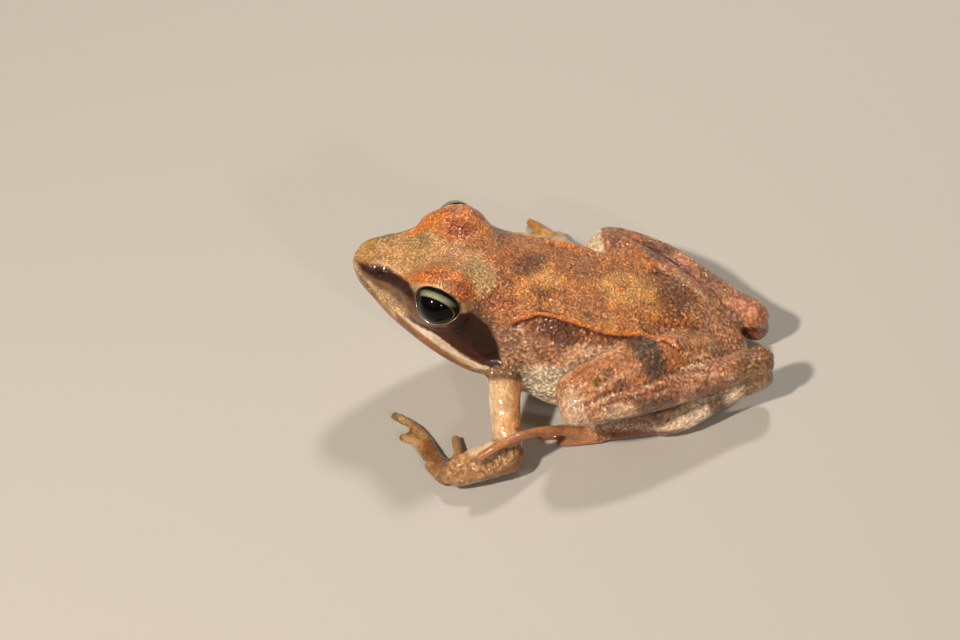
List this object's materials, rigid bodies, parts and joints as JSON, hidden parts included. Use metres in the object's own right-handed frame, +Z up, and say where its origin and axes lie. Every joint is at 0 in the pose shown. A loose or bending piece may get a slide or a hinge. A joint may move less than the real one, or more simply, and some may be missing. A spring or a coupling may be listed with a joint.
{
  "type": "wood frog model",
  "caption": "Life-size wood frog as a still model: pointed snout, domed eyes, back folds, folded hind legs and splayed hands, with one long toe laid over the forearm.",
  "frame": {"origin": "centre of the frog's bounding box at floor level", "axes": "+Z up, -Y the way the snout points, +X the frog's left side; +Y runs back along its length"},
  "size_m": [0.0424, 0.0458, 0.0195],
  "materials": {
    "head": "moist skin, finely granular",
    "jaw": "moist smooth skin",
    "back": "moist granular skin",
    "arm": "wet smooth skin",
    "hand": "wet smooth skin",
    "leg": "moist granular skin",
    "foot": "wet smooth skin",
    "eye": "wet gloss"
  },
  "bodies": {
    "root": {"head": "head", "lower_jaw": "jaw", "eye_left": "eye", "eye_right": "eye", "torso": "back", "upper_arm_left": "arm", "forearm_left": "arm", "hand_left": "hand", "thigh_left": "leg", "shank_left": "leg", "tarsus_left": "leg", "foot_left": "foot", "upper_arm_right": "arm", "forearm_right": "arm", "hand_right": "hand", "thigh_right": "leg", "shank_right": "leg", "tarsus_right": "leg", "foot_right": "foot"}
  },
  "joints": []
}
